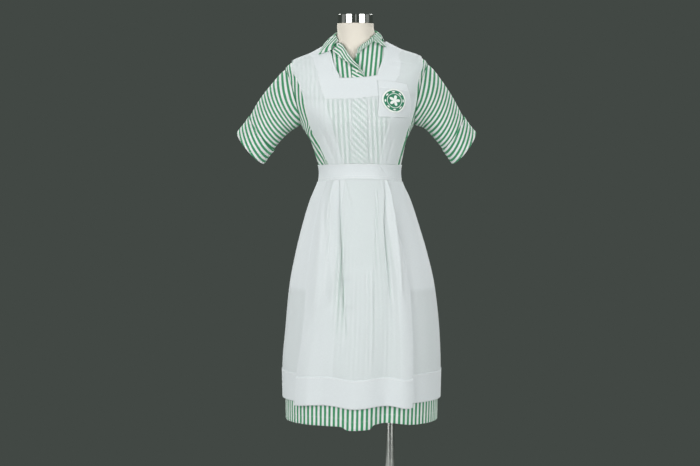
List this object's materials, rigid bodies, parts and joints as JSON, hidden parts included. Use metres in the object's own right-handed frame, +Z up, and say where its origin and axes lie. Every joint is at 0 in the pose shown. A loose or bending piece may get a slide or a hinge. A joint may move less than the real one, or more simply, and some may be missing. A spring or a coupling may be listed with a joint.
{
  "type": "nurse uniform dress on a dress form stand",
  "caption": "Striped short-sleeved shirtwaist uniform dress under a white bib apron with a pleated skirt and a bib pocket, shown on a limbless dress form and pole stand.",
  "frame": {"origin": "the middle of the underside of the stand's round base, on the floor", "axes": "+Z up, -Y the way the wearer faces, +X to the left of the wearer"},
  "size_m": [0.7455, 0.4012, 1.5463],
  "materials": {
    "striped_cotton": "plain woven cotton with green and white stripes",
    "white_cotton": "thin plain woven white cotton, slightly sheer",
    "patch": "embroidered twill",
    "form_cover": "smooth stretched cream cloth",
    "chrome": "polished",
    "button": "polished resin"
  },
  "bodies": {
    "root": {"form_torso": "form_cover", "neck_cap": "chrome", "pole_flange": "chrome", "stand_pole": "chrome", "stand_base": "chrome", "bodice_front_right": "striped_cotton", "bodice_front_left": "striped_cotton", "bodice_back": "striped_cotton", "sleeve_right": "striped_cotton", "sleeve_left": "striped_cotton", "cuff_right": "striped_cotton", "cuff_left": "striped_cotton", "collar": "striped_cotton", "lapel_right": "striped_cotton", "front_band": "striped_cotton", "dress_skirt_front": "striped_cotton", "dress_skirt_back": "striped_cotton", "neck_button": "button", "apron_bib": "white_cotton", "apron_strap_right": "white_cotton", "apron_strap_left": "white_cotton", "apron_waistband": "white_cotton", "apron_skirt": "white_cotton", "apron_hem": "white_cotton", "bib_pocket": "white_cotton", "pocket_patch": "patch", "apron_back_button": "button"}
  },
  "joints": []
}
